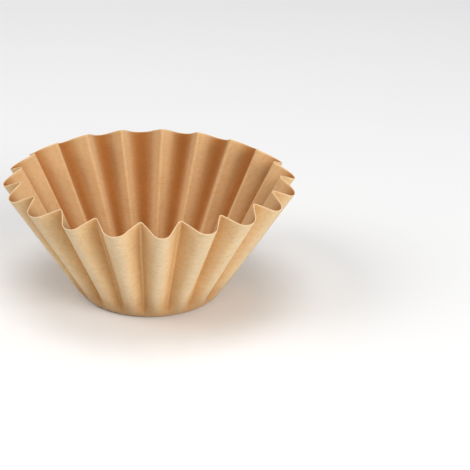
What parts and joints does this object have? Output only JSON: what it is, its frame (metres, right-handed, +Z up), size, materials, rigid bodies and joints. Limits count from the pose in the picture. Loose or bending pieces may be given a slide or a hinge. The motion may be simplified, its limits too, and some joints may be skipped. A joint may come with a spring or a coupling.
{
  "type": "paper coffee filter",
  "caption": "Fluted basket of brown filter paper with a flat round base and a wide wavy rim, which holds ground coffee while water runs through.",
  "frame": {"origin": "centre of the flat base, on the face that stands on the table", "axes": "+Z up along the filter's axis, out of the open mouth; one flute's crest lies on +X"},
  "size_m": [0.108, 0.108, 0.047],
  "materials": {
    "paper": "matt unbleached brown paper with a fine crepe"
  },
  "bodies": {
    "root": {"filter_paper": "paper"}
  },
  "joints": []
}
